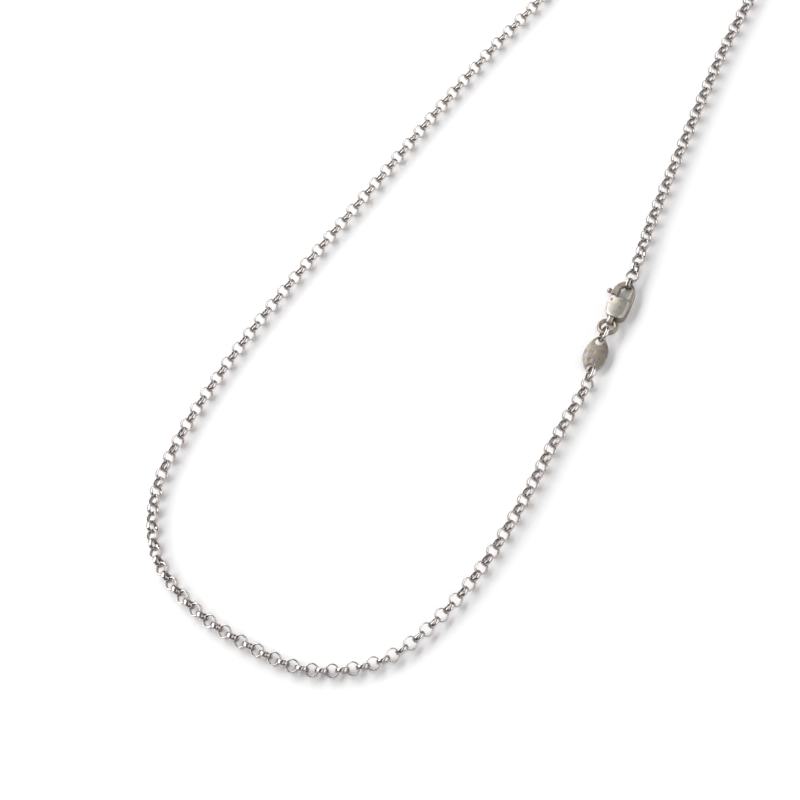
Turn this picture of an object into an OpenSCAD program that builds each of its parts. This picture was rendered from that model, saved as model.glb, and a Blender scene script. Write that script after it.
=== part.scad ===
/* [Chain links] */
// Outer diameter of one round link
link_d = 3.0; // [2.8:0.05:3.3]
// Width of the link's band, along its axis
link_w = 0.95; // [0.85:0.05:1.2]
// Thickness of the link's band
link_t = 0.32; // [0.24:0.02:0.34]
// Rounding of the band's inner edges
link_edge = 0.15; // [0.1:0.01:0.16]
// How far the band's outside drops from its crown to its rims
link_dome = 0.12; // [0.06:0.01:0.16]
// Slack between two neighbouring links
link_play = 0.18; // [0.17:0.01:0.3]

/* [Tag] */
// Length of the tag between its tips
tag_len = 9.7; // [8.5:0.1:11]
// Width of the tag at its middle
tag_w = 5.3; // [4.8:0.1:6]
// Thickness of the tag at its middle
tag_t = 0.55; // [0.45:0.05:0.65]
// How far the crown of the tag's face stands above its edges
tag_crown = 0.2; // [0.1:0.02:0.25]
// Diameter of the tag's two holes
tag_hole_d = 1.9; // [1.85:0.05:2]
// Distance from the middle of each hole to the tag's tip beyond it
tag_hole_inset = 1.55; // [1.5:0.05:1.7]
// Gap under the tag, where its links pass
tag_lift = 1.0; // [1:0.05:1.1]

/* [Tag links] */
// Outer diameter of the two links that hold the tag
tag_link_d = 3.9; // [3.8:0.05:4.1]
// Width of their band
tag_link_w = 0.8; // [0.7:0.05:0.85]
// Thickness of their band
tag_link_t = 0.4; // [0.3:0.02:0.44]
// How far they lean up from the surface
tag_link_lean = 56; // [55:1:60]

/* [Clasp ring] */
// Outer diameter of the clasp's ring
ring_d = 4.5; // [4.4:0.1:4.8]
// Wire of the clasp's ring
ring_wire = 0.95; // [0.8:0.05:1]
// Tilt of the ring, whose lower end lies on the tag's link
ring_tilt = 10; // [9:1:13]

/* [Clasp body] */
// Length of the clasp from the body's lower edge to the top of its hook
claw_len = 9.3; // [8.5:0.1:10.2]
// Width of the clasp over its hook
claw_w = 4.9; // [4.8:0.1:5.2]
// Thickness of the body
body_t = 2.5; // [2.4:0.1:2.8]
// Radius of the crown across the body's two faces
body_crown_r = 9; // [7:0.5:14]
// Thickness of the hook
hook_t = 1.05; // [0.95:0.05:1.1]
// Outer diameter of the eye that holds the clasp's ring
tail_d = 2.1; // [2:0.05:2.2]
// Hole in that eye
tail_hole_d = 1.4; // [1.35:0.05:1.45]
// Width of that eye along the ring's wire
tail_w = 1.2; // [1:0.1:1.3]

/* [Lever] */
// Diameter of the pin that the lever turns on
pin_d = 0.8; // [0.6:0.05:0.85]
// Clearance round the pin in the lever
pin_fit = 0.03; // [0.02:0.01:0.05]
// Thickness of the lever's arm
lever_t = 1.9; // [1.7:0.1:2.1]
// Thickness of the lever's tongue, inside the body's slot
tongue_t = 0.9; // [0.7:0.05:1]
// Clearance on each side of the tongue
tongue_gap = 0.1; // [0.06:0.01:0.14]
// Gap between the lever and the body, and between the lever and the hook
lever_gap = 0.1; // [0.08:0.01:0.14]
// Diameter of the thumb knob
knob_d = 1.2; // [1:0.05:1.3]
// How far the knob's middle stands out from the lever's arm
knob_out = 0.9; // [0.8:0.05:1.1]

/* [Hidden] */
$fn = 72;
silver = [0.80, 0.80, 0.81];
worn_silver = [0.66, 0.65, 0.63];
eps = 0.01;
// Sides of a wide drum, so that a thin crown keeps its height
drum_fn = 360;

// The chain's route on the surface: x, y and the turn of its links about it.
// It runs from the claw up the right strand, round the back and down the left one to the tag.
ROUTE = [
    [38.1, 0.0, 40], [37.8, 4.5, 24], [37.2, 10.0, 12], [36.6, 17.0, 7], [35.9, 32.0, 7],
    [35.3, 47.0, 7], [34.9, 62.0, 7], [35.3, 76.0, 4], [35.0, 87.0, 0], [31.0, 97.0, 0],
    [23.0, 103.5, 0], [13.0, 105.5, 0], [3.0, 103.0, 0], [-4.5, 96.0, 0], [-8.0, 86.0, 0],
    [-9.6, 75.0, 0], [-11.8, 63.7, 0], [-16.0, 49.8, 0], [-19.7, 35.2, 0], [-23.1, 20.7, 0],
    [-26.3, 6.1, 0], [-29.6, -8.5, 0], [-32.9, -23.1, 0], [-35.8, -37.7, 0], [-37.9, -52.5, 0],
    [-38.8, -67.5, -4], [-37.2, -82.3, -14], [-29.9, -94.9, -25], [-17.2, -102.3, -25],
    [-2.4, -105.7, -25], [12.5, -105.9, -25], [25.3, -98.8, -20], [32.4, -85.7, -10],
    [36.0, -71.2, 0], [37.6, -56.3, 7], [38.2, -41.4, 7]
];
// Middle of the clasp's ring on the same surface, where the clasp lies along Y
RING_AT = [38, -14];
// Curve pieces between two points of the route, and between two points of an outline
ROUTE_STEPS = 10;
OUTLINE_STEPS = 3;

// A piece of a smooth curve through points, from b to c
function between(a, b, c, d, t) = b + (c - a) * t / 2 + (2 * a - 5 * b + 4 * c - d) * t * t / 2
    + (3 * b - a - 3 * c + d) * t * t * t / 2;
// A smooth curve through points, with its two ends carried straight on
function smooth(p, steps) = let (
    n = len(p),
    q = concat([2 * p[0] - p[1]], p, [2 * p[n - 1] - p[n - 2]])
) concat(
    [for (i = [1:n - 1], k = [0:steps - 1]) between(q[i - 1], q[i], q[i + 1], q[i + 2], k / steps)],
    [p[n - 1]]
);
// Points on an arc about a middle
function arc(middle, r, from, to, count) = [
    for (k = [0:count - 1]) let (a = from + (to - from) * k / (count - 1)) middle + r * [cos(a), sin(a)]
];

// A band-shaped link: its profile, and how far it reaches below its middle when it leans
function band_profile(r, w, t, edge, dome) = [
    [r - t, edge - w / 2], [r - t + edge, -w / 2], [r - dome, -w / 2], [r, -w / 4],
    [r, w / 4], [r - dome, w / 2], [r - t + edge, w / 2], [r - t, w / 2 - edge]
];
function drop(profile, lean) = max([for (p = profile) p[0] * abs(sin(lean)) + abs(p[1]) * abs(cos(lean))]);
link_r = link_d / 2;
link_ri = link_r - link_t;
link_profile = band_profile(link_r, link_w, link_t, link_edge, link_dome);
// Pulled tight, two neighbours would meet at the inner edges of their bands
link_pitch = 2 * sqrt(pow(link_ri, 2) - pow(link_w / 2 - link_edge, 2)) - link_play;

// The clasp's frame has its origin below the middle of the clasp's ring and the claw along +Y
ring_r = (ring_d - ring_wire) / 2;
mid_z = body_t / 2;
claw_mid = 0.25;
claw_low = ring_d / 2 + 0.15;
tail_y = ring_r - 0.05;
tail_root = claw_low + 0.6;

// Outlines of the body and the hook, as shares of half the claw's width and of its length
function claw_point(p) = [claw_mid + p[0] * claw_w / 2, claw_low + p[1] * claw_len];
BODY_LOW = [
    [-1.02, 0.36], [-0.93, 0.22], [-0.84, 0.12], [-0.64, 0.05], [-0.26, 0.012], [0.2, 0], [0.62, 0.004],
    [0.88, 0.075], [0.95, 0.2], [0.95, 0.36], [0.88, 0.465], [0.7, 0.518], [0.42, 0.538], [0.12, 0.548]
];
BODY_LEFT = [-1.06, 0.47];
HOOK_OUTER = [
    [0.75, 0.2], [0.93, 0.3], [1, 0.42], [0.99, 0.57], [0.93, 0.72], [0.76, 0.85], [0.42, 0.95],
    [0.02, 0.99], [-0.42, 0.985], [-0.76, 0.925], [-0.95, 0.85]
];
HOOK_INNER = [
    [-0.44, 0.84], [-0.2, 0.88], [0.22, 0.88], [0.48, 0.84], [0.57, 0.74], [0.57, 0.6], [0.55, 0.44],
    [0.5, 0.24]
];
NOSE_REACH = 0.387;
// The lever turns on a pin near the body's left edge, inside two round cheeks
pin_at = claw_point([-0.715, 0.42]);
cheek_r = 1.4;
root_r = cheek_r + lever_gap;
// From the pin to the hook's end, which the lever just reaches
nose_r = NOSE_REACH * claw_len;
lever_len = nose_r - lever_gap;
tongue_r = 0.8;
slot_r = tongue_r + 2 * tongue_gap;
slot_in = 1.25;
pin_short = 0.03;
// Edges of the lever's arm, from the pin's middle
arm_in = 0.5;
arm_out = 0.7;
root_out = 0.85;
// The knob passes under the hook's end when the lever opens
knob_up = sqrt(pow(lever_len - knob_d / 2, 2) - pow(arm_out + knob_out, 2));
neck_d = 0.8;

// Direction from the pin of a point that lies x to its right, at a distance r
function bearing(x, r) = 90 - asin(x / r);
// How far the crowned face lies below the body's middle height, at the pin
pin_fall = body_crown_r - sqrt(pow(body_crown_r, 2) - pow(pin_at[0] - claw_mid, 2));

// The link in the claw stands upright round the hook's top, with the next link above that
hook_bar = (HOOK_OUTER[7][1] - HOOK_INNER[2][1]) * claw_len;
held_gap = 2 / 3 * (link_pitch - link_t - hook_bar);
held_x = 0.35;
held_at = [held_x, claw_low + HOOK_INNER[2][1] * claw_len - held_gap + link_ri];

// The tag, and the two leaning links that hold it
tag_head = 96.2;
tag_dir = [cos(tag_head), sin(tag_head)];
tag_right = [sin(tag_head), -cos(tag_head)];
tag_link_r = tag_link_d / 2;
tag_link_mean = tag_link_r - tag_link_t / 2;
tag_link_edge = 0.1;
tag_link_profile = band_profile(tag_link_r, tag_link_w, tag_link_t, tag_link_edge, tag_link_edge);
tag_link_z = drop(tag_link_profile, tag_link_lean);
// Their bands pass the holes at the tag's own height
hole_fall = (tag_link_z - tag_lift - tag_t / 2) / (tag_link_mean * sin(tag_link_lean));
hole_ease = 0.12;
hole_side = tag_link_mean * hole_fall * cos(tag_link_lean) + hole_ease;
hole_along = tag_link_mean * sqrt(1 - pow(hole_fall, 2));
hole_reach = tag_len / 2 - tag_hole_inset;
// The upper link lies just below the ring's lower end, and the tag hangs from it
ring_low = ring_r - 2 * ring_r * cos(ring_tilt);
below_ring = 0.26;
tag_mid = [0, ring_low - below_ring] - tag_dir * (hole_reach + hole_along) - tag_right * hole_side;
function tag_link_at(way) = tag_mid + way * tag_dir * (hole_reach + hole_along) + tag_right * hole_side;
// The chain's last link hangs in the lower one
last_reach = tag_link_r - tag_link_t + link_ri - 0.3 * tag_link_w - link_play;
last_at = tag_link_at(-1) - tag_dir * last_reach;

// The route as a smooth curve, and its x, y and turn against the length along it
knots = concat([[RING_AT[0] + held_at[0], RING_AT[1] + held_at[1], 45]], ROUTE,
               [[RING_AT[0] + last_at[0], RING_AT[1] + last_at[1], 0]]);
track = smooth(knots, ROUTE_STEPS);
function stretch(i) = norm([track[i][0] - track[i - 1][0], track[i][1] - track[i - 1][1]]);
run = [for (i = 1, s = 0; i <= len(track); s = s + (i < len(track) ? stretch(i) : 0), i = i + 1) s];
along_x = [for (i = [0:len(track) - 1]) [run[i], track[i][0]]];
along_y = [for (i = [0:len(track) - 1]) [run[i], track[i][1]]];
along_turn = [for (i = [0:len(track) - 1]) [run[i], track[i][2]]];
route_len = run[len(run) - 1];
// An odd number of links, so that the two end links lean the same way
links = 2 * round(route_len / link_pitch / 2) + 1;
pitch = route_len / (links - 1);
first_half = floor(links / 2);

// The whole necklace is centred on the origin
mid_x = (max([for (p = track) p[0]]) + min([for (p = track) p[0]])) / 2;
mid_y = (max([for (p = track) p[1]]) + min([for (p = track) p[1]])) / 2;
module centred() {
    translate([-mid_x, -mid_y, 0]) children();
}
module at_clasp() {
    centred() translate([RING_AT[0], RING_AT[1], 0]) children();
}

// A closed band about Z
module band(profile) {
    rotate_extrude() polygon(profile);
}

// A flat piece about z = 0, from an outline that runs anticlockwise
module plate(outline, thick) {
    linear_extrude(thick, center = true) polygon(outline);
}

module chain(first, last) {
    color(silver) centred() for (i = [first:last]) {
        s = i * pitch;
        turn = lookup(s, along_turn);
        roll = turn + (i % 2 == 0 ? 45 : -45);
        high = max(drop(link_profile, turn + 45), drop(link_profile, turn - 45));
        ahead = min(s + pitch / 2, route_len);
        behind = max(s - pitch / 2, 0);
        heading = atan2(lookup(ahead, along_y) - lookup(behind, along_y),
                        lookup(ahead, along_x) - lookup(behind, along_x));
        translate([lookup(s, along_x), lookup(s, along_y), high])
            rotate([0, 0, heading]) rotate([roll, 0, 0]) band(link_profile);
    }
}

module tag_link(way) {
    place = tag_link_at(way);
    color(silver) at_clasp() translate([place[0], place[1], tag_link_z])
        rotate([0, 0, tag_head]) rotate([-tag_link_lean, 0, 0]) band(tag_link_profile);
}

// A pointed oval with blunt tips, a slightly crowned face and a hole near each tip
module tag() {
    side_r = (pow(tag_len, 2) + pow(tag_w, 2)) / (4 * tag_w);
    crown_r = (pow(tag_w / 2, 2) + pow(tag_crown, 2)) / (2 * tag_crown);
    tip_trim = 0.25;
    sweep = asin((tag_len / 2 - tip_trim) / side_r);
    left = arc([0, tag_w / 2 - side_r], side_r, 90 - sweep, 90 + sweep, 13);
    right = arc([0, side_r - tag_w / 2], side_r, 270 - sweep, 270 + sweep, 13);
    color(worn_silver) at_clasp() translate([tag_mid[0], tag_mid[1], tag_lift]) rotate([0, 0, tag_head])
        difference() {
            intersection() {
                linear_extrude(2 * tag_t) polygon(concat(left, right));
                translate([0, 0, tag_t - crown_r]) rotate([0, 90, 0])
                    cylinder(r = crown_r, h = 2 * tag_len, center = true, $fn = drum_fn);
            }
            for (way = [-1, 1]) translate([way * hole_reach, 0, -eps])
                cylinder(d = tag_hole_d, h = 2 * tag_t);
        }
}

module clasp_ring() {
    color(worn_silver) at_clasp() translate([0, ring_r, mid_z]) rotate([-ring_tilt, 0, 0])
        translate([0, -ring_r, 0]) rotate_extrude() translate([ring_r, 0]) circle(d = ring_wire);
}

// The eye at the body's lower end stands on edge, with the ring's wire through it
module tail() {
    translate([-tail_w / 2, tail_y, mid_z]) rotate([0, 90, 0]) difference() {
        union() {
            cylinder(d = tail_d, h = tail_w);
            translate([-tail_d / 2, 0, 0]) cube([tail_d, tail_root - tail_y, tail_w]);
        }
        translate([0, 0, -eps]) cylinder(d = tail_hole_d, h = tail_w + 2 * eps);
    }
}

// A wide drum along the body, whose skin is one of its crowned faces
module body_crown(face) {
    translate([claw_mid, 0, face * (mid_z - body_crown_r)]) rotate([90, 0, 0])
        cylinder(r = body_crown_r, h = 4 * claw_len, center = true, $fn = drum_fn);
}

// The body is a flat block with crowned faces, and its hook comes up on the right and over to the left
module clasp_body() {
    cheek = arc(pin_at, cheek_r, 47, 122, 13);
    low = [for (p = BODY_LOW) claw_point(p)];
    outer = [for (p = HOOK_OUTER) claw_point(p)];
    inner = [for (p = HOOK_INNER) claw_point(p)];
    nose = arc(pin_at, nose_r, bearing(-arm_out, nose_r), bearing(arm_in, nose_r), 5);
    slot_h = tongue_t + 2 * tongue_gap;
    color(worn_silver) at_clasp() {
        difference() {
            translate([0, 0, mid_z]) union() {
                intersection() {
                    plate(concat(smooth(low, OUTLINE_STEPS), cheek, [claw_point(BODY_LEFT)]), 2 * body_t);
                    body_crown(-1);
                    body_crown(1);
                }
                plate(concat(smooth(concat(outer, [nose[0]]), OUTLINE_STEPS), [nose[1], nose[2], nose[3]],
                             smooth(concat([nose[4]], inner), OUTLINE_STEPS)), hook_t);
            }
            translate([pin_at[0], pin_at[1], mid_z - slot_h / 2]) {
                cylinder(r = slot_r, h = slot_h);
                translate([-2 * slot_r, 0, 0]) cube([2 * slot_r + slot_in, 2 * cheek_r, slot_h]);
            }
            translate([pin_at[0], pin_at[1], -eps]) cylinder(d = pin_d + 2 * eps, h = body_t + 2 * eps);
        }
        tail();
    }
}

module clasp_lever() {
    root = arc(pin_at, root_r, bearing(-root_out, root_r), bearing(arm_in, root_r), 7);
    tip = arc(pin_at, lever_len, bearing(arm_in, lever_len), bearing(-arm_out, lever_len), 5);
    sunk = 0.5;
    knob_x = pin_at[0] - arm_out - knob_out;
    ball = arc([0, 0], knob_d / 2, -90, acos(neck_d / knob_d), 13);
    knob = concat(ball, [[neck_d / 2, knob_out + sunk], [0, knob_out + sunk]]);
    color(worn_silver) at_clasp() difference() {
        union() {
            translate([0, 0, mid_z]) plate(concat(root, tip), lever_t);
            translate([pin_at[0], pin_at[1], mid_z - tongue_t / 2]) {
                cylinder(r = tongue_r, h = tongue_t);
                translate([-arm_out, 0, 0]) cube([arm_out + arm_in - eps, root_r + sunk, tongue_t]);
            }
            translate([knob_x, pin_at[1] + knob_up, mid_z]) {
                rotate([0, 90, 0]) rotate_extrude() polygon(knob);
            }
        }
        translate([pin_at[0], pin_at[1], 0]) cylinder(d = pin_d + 2 * pin_fit, h = body_t);
    }
}

module lever_pin() {
    color(worn_silver) at_clasp() translate([pin_at[0], pin_at[1], pin_fall + pin_short])
        cylinder(d = pin_d, h = body_t - 2 * (pin_fall + pin_short));
}

chain(0, first_half - 1);  // chain_claw_side
chain(first_half, links - 1);  // chain_tag_side
tag_link(-1);  // tag_link_lower
tag();
tag_link(1);  // tag_link_upper
clasp_ring();
clasp_body();
clasp_lever();
lever_pin();
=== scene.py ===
# %% [markdown]
# # A silver rolo chain with its clasp and tag
#
# The CAD model gives every solid of the necklace its place and size. This lesson dresses them: over 220
# polished links, two larger links, a stamped oval tag, a ring and a cast lobster clasp, on a white table.
# It begins by loading that model, which stays fixed.

# %% Start
import math

import bmesh
import bpy
import numpy as np
from mathutils import Matrix, Vector, kdtree


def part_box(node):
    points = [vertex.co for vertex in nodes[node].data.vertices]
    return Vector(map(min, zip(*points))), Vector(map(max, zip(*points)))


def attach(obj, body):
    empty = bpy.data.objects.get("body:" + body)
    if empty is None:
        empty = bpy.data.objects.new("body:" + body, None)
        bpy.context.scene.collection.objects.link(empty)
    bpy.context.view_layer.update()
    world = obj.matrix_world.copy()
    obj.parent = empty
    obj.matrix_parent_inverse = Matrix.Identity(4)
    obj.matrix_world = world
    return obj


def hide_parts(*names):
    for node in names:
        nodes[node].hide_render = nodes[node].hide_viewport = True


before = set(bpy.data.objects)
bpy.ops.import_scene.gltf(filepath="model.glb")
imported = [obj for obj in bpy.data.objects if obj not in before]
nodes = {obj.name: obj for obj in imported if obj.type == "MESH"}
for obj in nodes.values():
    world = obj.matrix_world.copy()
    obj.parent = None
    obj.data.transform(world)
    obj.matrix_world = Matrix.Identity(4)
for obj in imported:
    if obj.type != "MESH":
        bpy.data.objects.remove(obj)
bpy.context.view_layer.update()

MM = 0.001
print("CAD nodes:", sorted(nodes))

# %% [markdown]
# ## The camera
#
# The photograph looks down at the necklace at about 58 degrees, with the picture turned a little, so that
# the strands run from the top right to the lower left. The camera is set by what it looks at, its heading,
# its height angle, its distance and its roll, which are the numbers that a photographer would write down.

# %% Camera
PHOTO_PX = 800
FOCAL_PX = 2005
SENSOR = 36.0
NEAREST, FARTHEST = 0.01, 20
LOOK_AT = Vector((2.88, -43.83, 1.37)) * MM
HEADING, HEIGHT_ANGLE, ROLL = math.radians(134.6), math.radians(57.9), math.radians(22.3)
DISTANCE = 422.9 * MM

ahead = Vector((math.cos(HEIGHT_ANGLE) * math.cos(HEADING), math.cos(HEIGHT_ANGLE) * math.sin(HEADING),
                -math.sin(HEIGHT_ANGLE)))
level = ahead.cross(Vector((0, 0, 1))).normalized()
above = level.cross(ahead)
right = level * math.cos(ROLL) - above * math.sin(ROLL)
up = level * math.sin(ROLL) + above * math.cos(ROLL)

lens = bpy.data.cameras.new("camera")
lens.sensor_width = SENSOR
lens.lens = FOCAL_PX / PHOTO_PX * SENSOR
lens.clip_start, lens.clip_end = NEAREST, FARTHEST
camera = bpy.data.objects.new("camera", lens)
bpy.context.scene.collection.objects.link(camera)
turn = Matrix((right, up, -ahead)).transposed().to_4x4()
camera.matrix_world = Matrix.Translation(LOOK_AT - ahead * DISTANCE) @ turn
bpy.context.scene.camera = camera
print("lens", round(lens.lens, 1), "mm")

# %% [markdown]
# ## The table and the light
#
# Polished silver shows its surroundings more than itself. On a white table under white light alone it would
# vanish, so the room stays dim and the light comes from three long soft boxes that lie along the strands:
# the gaps between them give dark lines in the links, and more dark lines are painted on their bands as
# reflections. The left box is the strongest, and the soft shadows fall to the right. The strip above and
# the low box at the right put thin bright lines on the links' bands.

# %% Table and lights
ROOM_COLOUR, ROOM_LIGHT = (0.95, 0.92, 0.93, 1), 0.15
HALF_TABLE = 1.5

scene = bpy.context.scene
scene.view_settings.view_transform = "Standard"
room = bpy.data.worlds.new("dim room")
scene.world = room
room.use_nodes = True
room_light = room.node_tree.nodes["Background"].inputs
room_light["Color"].default_value = ROOM_COLOUR
room_light["Strength"].default_value = ROOM_LIGHT


def soft_box(name, direction, distance, wide, long, watts):
    """Adds an area light that faces the necklace, with its long side along the strands."""
    data = bpy.data.lights.new(name, "AREA")
    data.shape = "RECTANGLE"
    data.size, data.size_y = wide, long
    data.energy = watts
    lamp = bpy.data.objects.new(name, data)
    scene.collection.objects.link(lamp)
    towards = Vector(direction).normalized()
    across = Vector((0, 1, 0)).cross(towards).normalized()
    turn = Matrix((across, towards.cross(across), towards)).transposed().to_4x4()
    lamp.matrix_world = Matrix.Translation(LOOK_AT + towards * distance) @ turn
    print(name, "with", watts, "W")


soft_box("left box", (-0.90, 0.10, 0.68), distance=1.3, wide=0.8, long=2.4, watts=31)
soft_box("overhead strip", (0.44, 0.0, 1.0), distance=1.0, wide=0.3, long=2.0, watts=3.2)
soft_box("right box", (0.85, 0.3, 0.4), distance=1.3, wide=0.6, long=2.0, watts=8)

table_mesh = bpy.data.meshes.new("table")
corners = [(x * HALF_TABLE, y * HALF_TABLE, 0) for x, y in ((-1, -1), (1, -1), (1, 1), (-1, 1))]
table_mesh.from_pydata(corners, [], [(0, 1, 2, 3)])
table = bpy.data.objects.new("table", table_mesh)
scene.collection.objects.link(table)

# %% [markdown]
# ## Finishes
#
# A finish is a tree of nodes, and the two metals need the same few steps: noise for patches, a change of
# range, a mix of two colours, a product, and an attribute that the piece carries. Each step is a short
# function, so that a finish can be read like a recipe. The patterns are in Object coordinates, so that they
# stay put on the metal.

# %% Finish helpers


def new_material(name):
    """A material with its node tree and its main shader."""
    material = bpy.data.materials.new(name)
    material.use_nodes = True
    tree = material.node_tree
    print("finish:", name)
    return material, tree, tree.nodes["Principled BSDF"]


def object_coords(tree):
    """The place on the piece, as the patterns read it."""
    return tree.nodes.new("ShaderNodeTexCoord").outputs["Object"]


def noise(tree, coords, per_mm, detail=3.0, rough=0.55):
    """Noise with this many lumps to a millimetre."""
    node = tree.nodes.new("ShaderNodeTexNoise")
    node.inputs["Scale"].default_value = per_mm / MM
    node.inputs["Detail"].default_value = detail
    node.inputs["Roughness"].default_value = rough
    tree.links.new(coords, node.inputs["Vector"])
    return node.outputs["Fac"]


def spread(tree, value, low, high, to_low=0.0, to_high=1.0):
    """Stretches a value from one range to another, clamped."""
    node = tree.nodes.new("ShaderNodeMapRange")
    for name, number in zip(("From Min", "From Max", "To Min", "To Max"), (low, high, to_low, to_high)):
        node.inputs[name].default_value = number
    tree.links.new(value, node.inputs["Value"])
    return node.outputs["Result"]


def blend_colour(tree, share, first, second):
    """Mixes two colours; each is a colour or another node's output."""
    node = tree.nodes.new("ShaderNodeMix")
    node.data_type = "RGBA"
    for socket, colour in ((node.inputs[6], first), (node.inputs[7], second)):
        if isinstance(colour, tuple):
            socket.default_value = colour + (1,)
        else:
            tree.links.new(colour, socket)
    tree.links.new(share, node.inputs["Factor"])
    return node.outputs[2]


def multiply(tree, value, factor, plus=0.0):
    """A value times a number or another value, and something added."""
    node = tree.nodes.new("ShaderNodeMath")
    node.operation = "MULTIPLY_ADD"
    for place, number in enumerate((value, factor, plus)):
        if isinstance(number, float):
            node.inputs[place].default_value = number
        else:
            tree.links.new(number, node.inputs[place])
    return node.outputs[0]


def attribute(tree, name):
    """A number that the piece's mesh carries at each point."""
    node = tree.nodes.new("ShaderNodeAttribute")
    node.attribute_name = name
    return node.outputs["Fac"]


def bumps(tree, shader, height, depth_mm, strength=1.0):
    """Fine unevenness that shows in the highlights alone."""
    node = tree.nodes.new("ShaderNodeBump")
    node.inputs["Distance"].default_value = depth_mm * MM
    node.inputs["Strength"].default_value = strength
    tree.links.new(height, node.inputs["Height"])
    tree.links.new(node.outputs["Normal"], shader.inputs["Normal"])


# %% [markdown]
# The links are bright, because rubbing keeps them smooth. Tarnish stays inside the rings, because nothing
# rubs there. Beside their crowns and on their rims, dark lines are painted as reflections, and where one
# link sits in the next, painted shade stands for the shadow there. The far strand, opposite the clasp, is a
# little darker and warmer than the near turn and the clasp's strand, and its hollows and painted lines are
# lighter. Two shares, one along the loop and one across it, say how much a point belongs to that strand.

# %% Bright silver
NEAR_TONES = (0.90, 0.88, 0.87), (0.74, 0.70, 0.68)
FAR_TONES = (0.80, 0.77, 0.72), (0.66, 0.62, 0.57)
# Only the inside tone is tarnish; the tone beside the crowns is a painted dark reflection, and the nested
# tone is painted shade.
INSIDE_TONE, PAINTED_REFLECTION_TONE, NESTED_SHADE_TONE = (0.38, 0.33, 0.31), (0.44, 0.40, 0.38), (0.41, 0.38, 0.37)
NESTED_SHADE_SHARE = 0.75
TURN_FROM, TURN_FULL = 0.0, -45 * MM
CLASP_FROM, CLASP_FULL = -5 * MM, 15 * MM

bright, tree, shader = new_material("bright silver")
shader.inputs["Metallic"].default_value = 1.0
coords = object_coords(tree)
sides = tree.nodes.new("ShaderNodeSeparateXYZ")
tree.links.new(coords, sides.inputs[0])
near_turn = spread(tree, sides.outputs["Y"], TURN_FROM, TURN_FULL)
near_clasp = spread(tree, sides.outputs["X"], CLASP_FROM, CLASP_FULL)
far_strand = multiply(tree, multiply(tree, near_turn, -1.0, 1.0), multiply(tree, near_clasp, -1.0, 1.0))

patches = spread(tree, noise(tree, coords, per_mm=0.5), 0.35, 0.7)
near_tone = blend_colour(tree, patches, *NEAR_TONES)
polished = blend_colour(tree, far_strand, near_tone, blend_colour(tree, patches, *FAR_TONES))
inside_share = spread(tree, far_strand, 0.0, 1.0, to_low=0.95, to_high=0.85)
inside = multiply(tree, attribute(tree, "inside"), inside_share)
lined = blend_colour(tree, inside, polished, INSIDE_TONE)
# Painted dark reflections beside the crowns and on the rims, lighter on the far strand.
painted_lines_share = spread(tree, far_strand, 0.0, 1.0, to_low=0.8, to_high=0.6)
painted_dark_lines = multiply(tree, attribute(tree, "painted_dark_lines"), painted_lines_share)
with_painted_lines = blend_colour(tree, painted_dark_lines, lined, PAINTED_REFLECTION_TONE)
# Painted shade where one link sits in the next.
painted_joint_shade = multiply(tree, attribute(tree, "nested_shade"), NESTED_SHADE_SHARE)
tree.links.new(blend_colour(tree, painted_joint_shade, with_painted_lines, NESTED_SHADE_TONE), shader.inputs["Base Color"])

haze = spread(tree, noise(tree, coords, per_mm=1.6, detail=4.0), 0.3, 0.75, to_low=0.16, to_high=0.30)
tree.links.new(haze, shader.inputs["Roughness"])
bumps(tree, shader, noise(tree, coords, per_mm=2.2, detail=4.0), depth_mm=0.03, strength=0.5)

# %% [markdown]
# The clasp and the tag are a satin grey with warm patches, pits, and bright metal where edges have been
# rubbed. Their pieces carry four attributes: one for dull parts, which are aged metal and, on one side of
# the clasp's body, painted shade, "rubbed" for edges, "crevice" for hollows and "pitted" for the places
# with pits.

# %% Worn silver
SATIN_TONES = (0.52, 0.50, 0.47), (0.68, 0.65, 0.57)
# The duller tones: aged metal, and painted shade on one side of the clasp's body.
AGE_AND_SHADE_TONES = (0.30, 0.26, 0.26), (0.38, 0.34, 0.25)
RUBBED_TONE, CREVICE_TONE, PIT_TONE = (0.88, 0.86, 0.83), (0.14, 0.11, 0.10), (0.17, 0.14, 0.11)
AGED_ROUGHER = 0.12

worn, tree, shader = new_material("worn silver")
shader.inputs["Metallic"].default_value = 1.0
coords = object_coords(tree)
patches = spread(tree, noise(tree, coords, per_mm=0.45, detail=4.0), 0.4, 0.62)
satin = blend_colour(tree, patches, *SATIN_TONES)
grey_warm = blend_colour(tree, attribute(tree, "age_and_shade"), satin, blend_colour(tree, patches, *AGE_AND_SHADE_TONES))
rubbed = blend_colour(tree, attribute(tree, "rubbed"), grey_warm, RUBBED_TONE)
tarnished = blend_colour(tree, attribute(tree, "crevice"), rubbed, CREVICE_TONE)
specks = spread(tree, noise(tree, coords, per_mm=3.6, detail=2.0), 0.56, 0.68)
pits = multiply(tree, specks, attribute(tree, "pitted"))
tree.links.new(blend_colour(tree, pits, tarnished, PIT_TONE), shader.inputs["Base Color"])

grain = spread(tree, noise(tree, coords, per_mm=3.0, detail=5.0), 0.3, 0.7, to_low=0.28, to_high=0.46)
tree.links.new(multiply(tree, attribute(tree, "age_and_shade"), AGED_ROUGHER, grain), shader.inputs["Roughness"])
bumps(tree, shader, noise(tree, coords, per_mm=9.0, detail=5.0, rough=0.7), depth_mm=0.012, strength=0.6)

# %% [markdown]
# The table is white paper: nearly white, rough and hardly shiny, so that it takes soft shadows and shows no
# picture of the soft boxes.

# %% White table
paper, tree, shader = new_material("white table")
for key, value in (("Base Color", (0.94, 0.94, 0.94, 1)), ("Roughness", 0.7), ("Specular IOR Level", 0.2)):
    shader.inputs[key].default_value = value
table_mesh.materials.append(paper)

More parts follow.
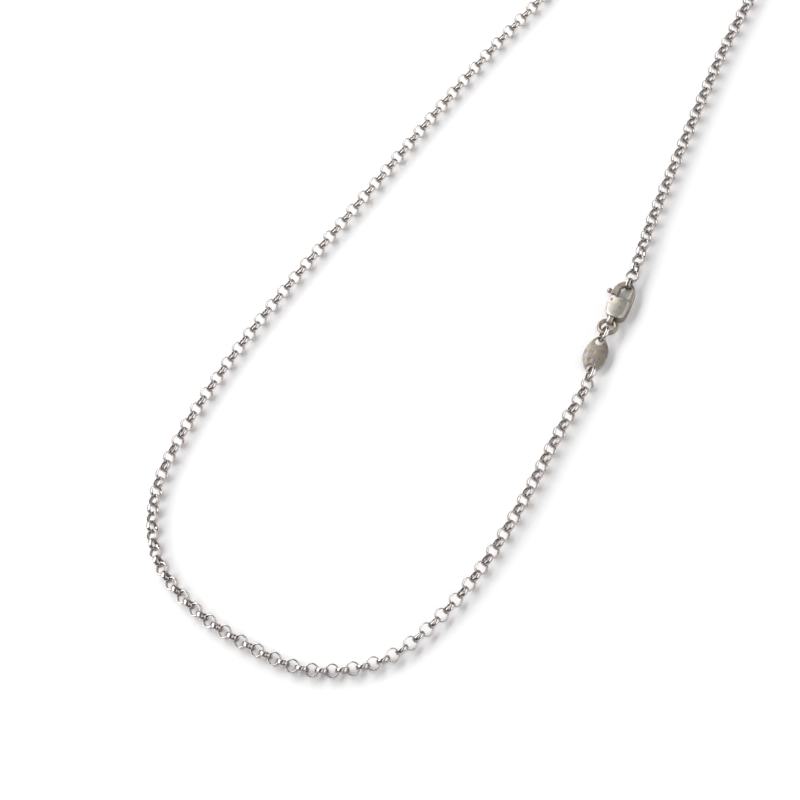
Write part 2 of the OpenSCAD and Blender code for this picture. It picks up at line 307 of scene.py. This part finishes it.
# %% [markdown]
# ## The links' places
#
# A rolo chain is made of equal round rings of wide flat wire. Each ring sits a quarter turn round from the
# last. Their places are already in the CAD model, so they are read from there: each loose ring of its mesh
# gives a middle, and the direction in which the ring is narrowest gives its axis. The rings are then put in
# order, each time with the nearest one that is left.

# %% Read the links' places
SAME_POINT = 1e-7


def merged(name):
    """A copy of a CAD node's mesh, with its loose triangles joined at their corners."""
    mesh = bmesh.new()
    mesh.from_mesh(nodes[name].data)
    bmesh.ops.remove_doubles(mesh, verts=mesh.verts, dist=SAME_POINT)
    return mesh


def loose_rings(name):
    """Middle and axis of each loose ring in a CAD node."""
    mesh = merged(name)
    mesh.verts.ensure_lookup_table()
    seen, rings = set(), []
    for start in mesh.verts:
        if start.index in seen:
            continue
        seen.add(start.index)
        waiting, points = [start], []
        while waiting:
            vertex = waiting.pop()
            points.append(tuple(vertex.co))
            for edge in vertex.link_edges:
                other = edge.other_vert(vertex)
                if other.index not in seen:
                    seen.add(other.index)
                    waiting.append(other)
        points = np.array(points)
        widest_to_narrowest = np.linalg.svd(points - points.mean(0), full_matrices=False)[2]
        rings.append((points.mean(0), widest_to_narrowest[2]))
    mesh.free()
    return rings


rings = loose_rings("chain_claw_side") + loose_rings("chain_tag_side")
middles = np.array([ring[0] for ring in rings])
order = [int(np.argmin(np.linalg.norm(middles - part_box("clasp_body")[1], axis=1)))]
left = set(range(len(rings))) - set(order)
while left:
    nearest = min(left, key=lambda k: float(np.linalg.norm(middles[k] - middles[order[-1]])))
    order.append(nearest)
    left.discard(nearest)
middles = middles[order]
axes = np.array([rings[k][1] for k in order])
along = np.gradient(middles, axis=0)
print(len(middles), "links, from the clasp to the tag")

# %% [markdown]
# ## The links
#
# One link is a circle of wide wire: flat inside, slightly domed outside, with soft rims. A grid bent round
# two angles gives that shape with few faces, which matters, because the link is repeated over 200 times.
# Geometry Nodes place a copy at each point, aligned to its axis, and turn each copy by its own random
# amount. A small class keeps the calls short.

# %% Node helpers


class Nodes:
    """Adds nodes to a Geometry Nodes tree in the order in which the steps are written."""

    def __init__(self, name):
        self.tree = bpy.data.node_groups.new(name, "GeometryNodeTree")
        self.tree.interface.new_socket("Geometry", in_out="OUTPUT", socket_type="NodeSocketGeometry")
        self.tree.interface.new_socket("Geometry", in_out="INPUT", socket_type="NodeSocketGeometry")

    def input(self, name, kind, value):
        socket = self.tree.interface.new_socket(name, in_out="INPUT", socket_type=kind)
        socket.default_value = value

    def start(self):
        return self.tree.nodes.new("NodeGroupInput").outputs

    def add(self, kind, inputs=(), **settings):
        node = self.tree.nodes.new(kind)
        for key, value in settings.items():
            setattr(node, key, value)
        for key, value in dict(inputs).items():
            self.feed(node.inputs[key], value)
        return node

    def feed(self, socket, value):
        if isinstance(value, bpy.types.NodeSocket):
            self.tree.links.new(value, socket)
        else:
            socket.default_value = value

    def math(self, how, *values):
        return self.add("ShaderNodeMath", list(enumerate(values)), operation=how).outputs[0]

    def keep(self, geometry, name, value, kind="FLOAT"):
        """Stores a value at each point under a name."""
        inputs = {"Geometry": geometry, "Name": name, "Value": value}
        return self.add("GeometryNodeStoreNamedAttribute", inputs, data_type=kind, domain="POINT").outputs[0]

    def kept(self, name):
        """Reads a direction or a place that was stored under a name."""
        node = self.add("GeometryNodeInputNamedAttribute", {"Name": name}, data_type="FLOAT_VECTOR")
        return node.outputs[0]

    def finish(self, geometry):
        last = self.tree.nodes.new("NodeGroupOutput")
        self.tree.links.new(geometry, last.inputs[0])
        return self.tree


g = Nodes("links")
print("new tree:", g.tree.name)

# %% [markdown]
# The wire's section is a rounded oblong: cosine and sine raised to a small power give straight sides with
# round corners. The dome is added to its outer side only.

# %% Link's form
RIM = 0.3
SAME_CORNER = 1e-6

for name, value in (("Diameter", 3.0 * MM), ("Width", 0.95 * MM), ("Thickness", 0.32 * MM),
                    ("Dome", 0.12 * MM), ("Squareness", 0.42)):
    g.input(name, "NodeSocketFloat", value)
for name, value in (("Steps round", 18), ("Steps across", 9), ("Seed", 7)):
    g.input(name, "NodeSocketInt", value)
g.input("Metal", "NodeSocketMaterial", None)
given = g.start()


def squared(value):
    """Keeps the sign of a value and raises its size to a small power."""
    size = g.math("POWER", g.math("ABSOLUTE", value), given["Squareness"])
    return g.math("MULTIPLY", g.math("SIGN", value), size)


grid = g.add("GeometryNodeMeshGrid", {
    "Size X": 1.0, "Size Y": 1.0,
    "Vertices X": g.math("ADD", given["Steps round"], 1),
    "Vertices Y": g.math("ADD", given["Steps across"], 1)})
place = g.add("ShaderNodeSeparateXYZ", {0: g.add("GeometryNodeInputPosition").outputs[0]})
round_angle = g.math("MULTIPLY", place.outputs["X"], 2 * math.pi)
across_angle = g.math("MULTIPLY", place.outputs["Y"], 2 * math.pi)

outward = g.math("COSINE", across_angle)
side = squared(g.math("SINE", across_angle))
is_outer = g.math("GREATER_THAN", outward, RIM)
half_wide = g.math("MULTIPLY", given["Width"], 0.5)
half_thick = g.math("MULTIPLY", g.math("SUBTRACT", given["Thickness"], given["Dome"]), 0.5)
dome_share = g.math("SUBTRACT", 1.0, g.math("POWER", side, 2.0))
dome = g.math("MULTIPLY", g.math("MULTIPLY", given["Dome"], dome_share), is_outer)
half_diameter = g.math("MULTIPLY", given["Diameter"], 0.5)
wire_middle = g.math("SUBTRACT", g.math("SUBTRACT", half_diameter, given["Dome"]), half_thick)
flat_radius = g.math("ADD", wire_middle, g.math("MULTIPLY", squared(outward), half_thick))
radius = g.math("ADD", flat_radius, dome)
bent = g.add("ShaderNodeCombineXYZ", {
    "X": g.math("MULTIPLY", radius, g.math("COSINE", round_angle)),
    "Y": g.math("MULTIPLY", radius, g.math("SINE", round_angle)),
    "Z": g.math("MULTIPLY", side, half_wide)})
print("the link's form takes", len(g.tree.nodes), "nodes")

# %% [markdown]
# Two attributes are kept for the finish while the grid is still flat: "inside" for the hollow of the ring,
# and one for painted dark reflections on the sides of the crown and, at half the strength, on the rims.

# %% Link's marks
CROWN_SIDE, CROWN_SIDE_HALF = 0.75, 0.2
RIM_STRENGTH = 0.5

# Painted dark reflections: the sides of the crown, and the rims at half the strength.
from_crown_side = g.math("ABSOLUTE", g.math("SUBTRACT", g.math("ABSOLUTE", side), CROWN_SIDE))
beside_crown = g.math("MULTIPLY", g.math("LESS_THAN", from_crown_side, CROWN_SIDE_HALF), is_outer)
on_rim = g.math("LESS_THAN", g.math("ABSOLUTE", outward), RIM)
painted_dark_lines = g.math("MAXIMUM", beside_crown, g.math("MULTIPLY", on_rim, RIM_STRENGTH))
marked = g.keep(grid.outputs["Mesh"], "inside", g.math("LESS_THAN", outward, -RIM))
marked = g.keep(marked, "painted_dark_lines", painted_dark_lines)
link = g.add("GeometryNodeSetPosition", {"Geometry": marked, "Position": bent.outputs[0]})
link = g.add("GeometryNodeMergeByDistance", {"Geometry": link.outputs[0], "Distance": SAME_CORNER})
link = g.add("GeometryNodeSetShadeSmooth", {"Geometry": link.outputs[0]})
print("with its marks", len(g.tree.nodes), "nodes")

# %% [markdown]
# The copies are set on the points. Each point carries the link's axis and the chain's course there, and its
# own place is kept as "middle", so that every point of a copy knows how far along the chain it lies from
# that middle. That gives painted shade on the two ends of a link that lie inside its neighbours, where one
# link sits in the next.

# %% Link's copies
NESTED_FROM, NESTED_FULL = 0.5, 0.9

axis, course = g.kept("axis"), g.kept("along")
facing = g.add("FunctionNodeAxesToRotation", {0: axis, 1: course}, primary_axis="Z", secondary_axis="X")
spin = g.add("FunctionNodeRandomValue", {"Min": 0.0, "Max": 2 * math.pi, "Seed": given["Seed"]})
spin_value = [output for output in spin.outputs if output.enabled][0]
own_turn = g.add("FunctionNodeAxisAngleToRotation", {"Axis": (0.0, 0.0, 1.0), "Angle": spin_value})
turned = g.add("FunctionNodeRotateRotation", {0: facing.outputs[0], 1: own_turn.outputs[0]},
               rotation_space="LOCAL")
position = g.add("GeometryNodeInputPosition").outputs[0]
copies = g.add("GeometryNodeInstanceOnPoints", {
    "Points": g.keep(given["Geometry"], "middle", position, "FLOAT_VECTOR"),
    "Instance": link.outputs[0], "Rotation": turned.outputs[0]})
solid = g.add("GeometryNodeRealizeInstances", {0: copies.outputs[0]})

# The ends of a link that lie inside its neighbours get painted shade.
offset = g.add("ShaderNodeVectorMath", {0: position, 1: g.kept("middle")}, operation="SUBTRACT")
direction = g.add("ShaderNodeVectorMath", {0: course}, operation="NORMALIZE")
reach = g.add("ShaderNodeVectorMath", {0: offset.outputs[0], 1: direction.outputs[0]},
              operation="DOT_PRODUCT")
reach = g.math("DIVIDE", g.math("ABSOLUTE", reach.outputs["Value"]), half_diameter)
nested_shade = g.add("ShaderNodeMapRange", {"Value": reach, "From Min": NESTED_FROM, "From Max": NESTED_FULL})
solid = g.keep(solid.outputs[0], "nested_shade", nested_shade.outputs[0])
metal = g.add("GeometryNodeSetMaterial", {"Geometry": solid, "Material": given["Metal"]})
link_tree = g.finish(metal.outputs[0])
print("link tree:", len(link_tree.nodes), "nodes")

# %% [markdown]
# The same tree makes the chain and the two larger links that hold the tag, with other sizes. Each object
# starts as points that carry the axis and the course of the chain, and ends as a plain mesh.

# %% Piece helpers


def points_object(name, places, axis_of, along_of):
    """An object of loose points that carry an axis and a course."""
    mesh = bpy.data.meshes.new(name)
    mesh.from_pydata([tuple(p) for p in places], [], [])
    for key, values in (("axis", axis_of), ("along", along_of)):
        data = mesh.attributes.new(key, "FLOAT_VECTOR", "POINT").data
        data.foreach_set("vector", np.array(values, dtype=np.float32).ravel())
    piece = bpy.data.objects.new(name, mesh)
    scene.collection.objects.link(piece)
    return piece


def bake_mesh(piece):
    """Turns the evaluated object into a plain mesh and removes its modifiers."""
    evaluated = piece.evaluated_get(bpy.context.evaluated_depsgraph_get())
    mesh = bpy.data.meshes.new_from_object(evaluated)
    piece.modifiers.clear()
    piece.data = mesh


def run_tree(piece, tree, **sizes):
    """Gives the object the tree with its inputs, and keeps the result as a plain mesh."""
    modifier = piece.modifiers.new("nodes", "NODES")
    modifier.node_group = tree
    for socket in tree.interface.items_tree:
        if socket.item_type == "SOCKET" and socket.in_out == "INPUT" and socket.name in sizes:
            modifier[socket.identifier] = sizes[socket.name]
    bake_mesh(piece)


def outwards(piece):
    """Recalculates the normals of a closed mesh."""
    mesh = bmesh.new()
    mesh.from_mesh(piece.data)
    bmesh.ops.recalc_face_normals(mesh, faces=mesh.faces)
    mesh.to_mesh(piece.data)
    mesh.free()


def finish_piece(piece, slot, body, *replaced):
    """Attaches the piece to the body it rides on and hides the CAD nodes that it stands for; the slot is not
    used.
    """
    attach(piece, body)
    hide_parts(*replaced)
    print(piece.name, "has", len(piece.data.polygons), "faces")


# %% Make the links
chain = points_object("chain_links", middles, axes, along)
run_tree(chain, link_tree, Metal=bright)
outwards(chain)
finish_piece(chain, "silver_bright", "necklace", "chain_claw_side", "chain_tag_side")

for name in ("tag_link_lower", "tag_link_upper"):
    middle, axis_of = loose_rings(name)[0]
    piece = points_object(name + "_metal", [middle], [axis_of], [Vector((0, 1, 0))])
    run_tree(piece, link_tree, Metal=bright, Diameter=3.9 * MM, Width=0.8 * MM, Thickness=0.4 * MM,
             Dome=0.1 * MM, Squareness=0.6, **{"Steps round": 48, "Steps across": 16})
    outwards(piece)
    finish_piece(piece, "silver_bright", "necklace", name)

# %% [markdown]
# ## Cast metal from the solids
#
# The clasp's body, its lever and the tag are cast or stamped and then tumbled, so their edges are soft. The
# CAD solids have the right forms with sharp edges. Bevelling those would need clean edge loops, which solids
# cut from each other don't have. So a copy is remeshed into small even faces and smoothed: that rounds every
# edge alike, as tumbling does. The copy is worked on in millimetres, because the remesher has a smallest
# size.

# %% Remesh helpers
HALFWAY = 0.5


def soften(piece, times):
    """Moves each point halfway to the middle of its neighbours, some times over."""
    modifier = piece.modifiers.new("soften", "SMOOTH")
    modifier.factor = HALFWAY
    modifier.iterations = times
    bake_mesh(piece)


def cast_copy(name, parts, face_size, smoothing):
    """One closed mesh of even faces, in millimetres, from copies of CAD nodes."""
    whole = bmesh.new()
    for part in parts:
        piece_mesh = bpy.data.meshes.new("part")
        copy = merged(part)
        copy.to_mesh(piece_mesh)
        copy.free()
        whole.from_mesh(piece_mesh)
        bpy.data.meshes.remove(piece_mesh)
    bmesh.ops.scale(whole, vec=(1 / MM,) * 3, verts=whole.verts)
    mesh = bpy.data.meshes.new(name)
    whole.to_mesh(mesh)
    whole.free()
    piece = bpy.data.objects.new(name, mesh)
    scene.collection.objects.link(piece)
    remesh = piece.modifiers.new("even faces", "REMESH")
    remesh.mode = "VOXEL"
    remesh.voxel_size = face_size
    bake_mesh(piece)
    soften(piece, smoothing)
    print(name, "is remeshed with faces of", face_size, "mm")
    return piece


def to_metres(piece, metal):
    """Brings the copy back to the size of the frame, smooth shaded and in its metal."""
    piece.data.transform(Matrix.Scale(MM, 4))
    piece.data.materials.clear()
    piece.data.materials.append(metal)
    piece.data.polygons.foreach_set("use_smooth", [True] * len(piece.data.polygons))
    piece.data.update()


# %% [markdown]
# Wear follows the form: metal that stands out is rubbed bright, and hollows keep their dirt. How far the
# surface bends at a point is found from its edges, by how much they rise or fall from the normal there, and
# a few rounds of averaging make it smooth. The result is stored in attributes that the finish reads.

# %% Wear helpers
WEAR_ROUNDS = 6
RUB_GAIN, RUB_LEAST = 7, 0.25
DIRT_GAIN, DIRT_LEAST = 8, 0.1
TINY = 1e-9


def read_rows(items, key, wide=3, kind=np.float64):
    """What a mesh keeps under a key, with one row for each of its points or edges."""
    values = np.zeros(len(items) * wide, dtype=kind)
    items.foreach_get(key, values)
    return values.reshape(-1, wide)


def read_points(piece):
    """Places and normals of the points."""
    return read_rows(piece.data.vertices, "co"), read_rows(piece.data.vertices, "normal")


def write_points(piece, points):
    """Moves the points to new places."""
    piece.data.vertices.foreach_set("co", points.ravel())
    piece.data.update()


def average_at_ends(pairs, at_ends, count):
    """What the edges say of each point, averaged; they say one thing of either end."""
    total, number = np.zeros(count), np.zeros(count)
    for end, values in enumerate(at_ends):
        np.add.at(total, pairs[:, end], values)
        np.add.at(number, pairs[:, end], 1)
    return total / np.maximum(number, 1)


def mark_wear(piece, rub=1.0, dirt=1.0, age_and_shade=0.0, pitted=0.0):
    """Stores how far each point stands out, as rubbed metal, or lies in a hollow, as a crevice."""
    points, normals = read_points(piece)
    pairs = read_rows(piece.data.edges, "vertices", 2, np.int64)
    count = len(points)
    step = points[pairs[:, 1]] - points[pairs[:, 0]]
    length = np.maximum(np.linalg.norm(step, axis=1), TINY)
    rises = [(normals[pairs[:, end]] * step).sum(1) * sign / length for end, sign in ((0, 1), (1, -1))]
    bend = average_at_ends(pairs, rises, count)
    for _ in range(WEAR_ROUNDS):
        bend = (bend + average_at_ends(pairs, (bend[pairs[:, 1]], bend[pairs[:, 0]]), count)) / 2
    wear = {"rubbed": np.clip(-bend * RUB_GAIN * rub - RUB_LEAST, 0, 1),
            "crevice": np.clip(bend * DIRT_GAIN * dirt - DIRT_LEAST, 0, 1),
            "age_and_shade": np.zeros(count) + age_and_shade,
            "pitted": np.zeros(count) + pitted}
    for key, value in wear.items():
        data = piece.data.attributes.new(key, "FLOAT", "POINT").data
        data.foreach_set("value", value.astype(np.float32))
    print(piece.name, "is rubbed at", int((wear["rubbed"] > 0).sum()), "of", count, "points")


# %% [markdown]
# ## The clasp
#
# The body is a thick block with two crowned faces, and the hook grows out of its side. The pin's ends are
# flush with the faces, so the pin is dressed as one piece with the body. On the real clasp a bevel runs
# round each face and catches the light. Here every point of the block that lies near its rim is lowered,
# the most at the rim itself, and the walls near the pin count as no rim. The faces are the least aged part:
# the walls are duller with age, and the side towards the middle of the loop is darkened with painted shade.

# %% Clasp body
BEVEL_WIDE, BEVEL_DEEP = 0.5, 0.2
PIN_CLEAR = 1.0
HOOK_HALF = 0.6
ABOVE_HOOK, BEVEL_RISE = 0.15, 0.3
WALL_TILT = 0.35
FACE_HALF, WALL_BLEND = 1.1, 0.3
# How far across the clasp's body the painted shade reaches.
PAINTED_SHADE_ACROSS = 1.6


def bevel_faces(piece, middle, pin):
    """Lowers the rims of the two thick faces of the clasp's body."""
    points, normals = read_points(piece)
    height = np.abs(points[:, 2] - middle)
    off_pin = np.linalg.norm(points[:, :2] - pin, axis=1) > PIN_CLEAR
    thick = height > HOOK_HALF + ABOVE_HOOK
    walls = np.where((np.abs(normals[:, 2]) < WALL_TILT) & thick & off_pin)[0]
    rims = kdtree.KDTree(len(walls))
    for k in walls:
        rims.insert((points[k, 0], points[k, 1], 0), int(k))
    rims.balance()
    for k in np.where(thick)[0]:
        near = rims.find((points[k, 0], points[k, 1], 0))[2]
        risen = min(1.0, (height[k] - HOOK_HALF - ABOVE_HOOK) / BEVEL_RISE)
        share = risen * max(0.0, 1 - near / BEVEL_WIDE) ** 2
        points[k, 2] -= math.copysign(BEVEL_DEEP * share, points[k, 2] - middle)
    write_points(piece, points)


body_low, body_high = (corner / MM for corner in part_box("clasp_body"))
body_mid = (body_low[2] + body_high[2]) / 2
pin_low, pin_high = (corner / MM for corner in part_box("lever_pin"))
clasp = cast_copy("clasp_metal", ("clasp_body", "lever_pin"), face_size=0.06, smoothing=2)
bevel_faces(clasp, body_mid, ((pin_low + pin_high) / 2)[:2])
soften(clasp, 4)

points = read_points(clasp)[0]
# The walls are duller with age; the side towards the middle of the loop gets painted shade.
wall_share = (FACE_HALF - np.abs(points[:, 2] - body_mid)) / WALL_BLEND
across = (points[:, 0] - body_low[0]) / (body_high[0] - body_low[0])
age_and_shade_share = np.clip(np.maximum(wall_share, 1.0 - across * PAINTED_SHADE_ACROSS), 0, 1)
mark_wear(clasp, rub=1.2, dirt=1.6, age_and_shade=age_and_shade_share, pitted=0.25)
to_metres(clasp, worn)
finish_piece(clasp, "silver_worn", "necklace", "clasp_body", "lever_pin")

# %% [markdown]
# The lever is the clasp's only moving piece. It is cast like the body, with a round knob for the thumb
# nail, and it rides on its own body.

# %% Lever
lever = cast_copy("lever_metal", ("clasp_lever",), face_size=0.045, smoothing=5)
mark_wear(lever, rub=0.8, age_and_shade=0.8)
to_metres(lever, worn)
finish_piece(lever, "silver_worn", "lever", "clasp_lever")

# %% [markdown]
# ## The ring and the tag
#
# The ring is plain round wire. The tag is stamped from sheet and has been worn for years: its faces have
# shallow dents and pits, and its rims are rubbed round. Dents are real relief here, pushed into the mesh
# along its normals, because the light shows them better than a bump in the finish.

# %% Ring
ring = cast_copy("ring_metal", ("clasp_ring",), face_size=0.07, smoothing=3)
mark_wear(ring, rub=0.3, age_and_shade=1.0)
to_metres(ring, worn)
finish_piece(ring, "silver_worn", "necklace", "clasp_ring")

# %% Tag
DENTS, DENT_SEED = 70, 11
DENTS_ON_TOP = 0.6
DENT_SIZES, DENT_DEPTHS = (0.15, 0.5), (0.01, 0.045)


def dent(piece, count, seed):
    """Pushes shallow round dents into the faces of the tag."""
    draw = np.random.default_rng(seed)
    points, normals = read_points(piece)
    low, high = points.min(0), points.max(0)
    push = np.zeros(len(points))
    for _ in range(count):
        middle = draw.uniform(low, high)
        middle[2] = high[2] if draw.random() < DENTS_ON_TOP else low[2]
        size, deep = draw.uniform(*DENT_SIZES), draw.uniform(*DENT_DEPTHS)
        push += deep * np.exp(-((points - middle) ** 2).sum(1) / size ** 2)
    write_points(piece, points - normals * push[:, None])
    print("deepest dent", round(float(push.max()), 3), "mm")


tag = cast_copy("tag_metal", ("tag",), face_size=0.05, smoothing=5)
dent(tag, DENTS, DENT_SEED)
mark_wear(tag, rub=1.0, dirt=2.0, age_and_shade=0.95, pitted=0.9)
to_metres(tag, worn)
finish_piece(tag, "silver_worn", "necklace", "tag")
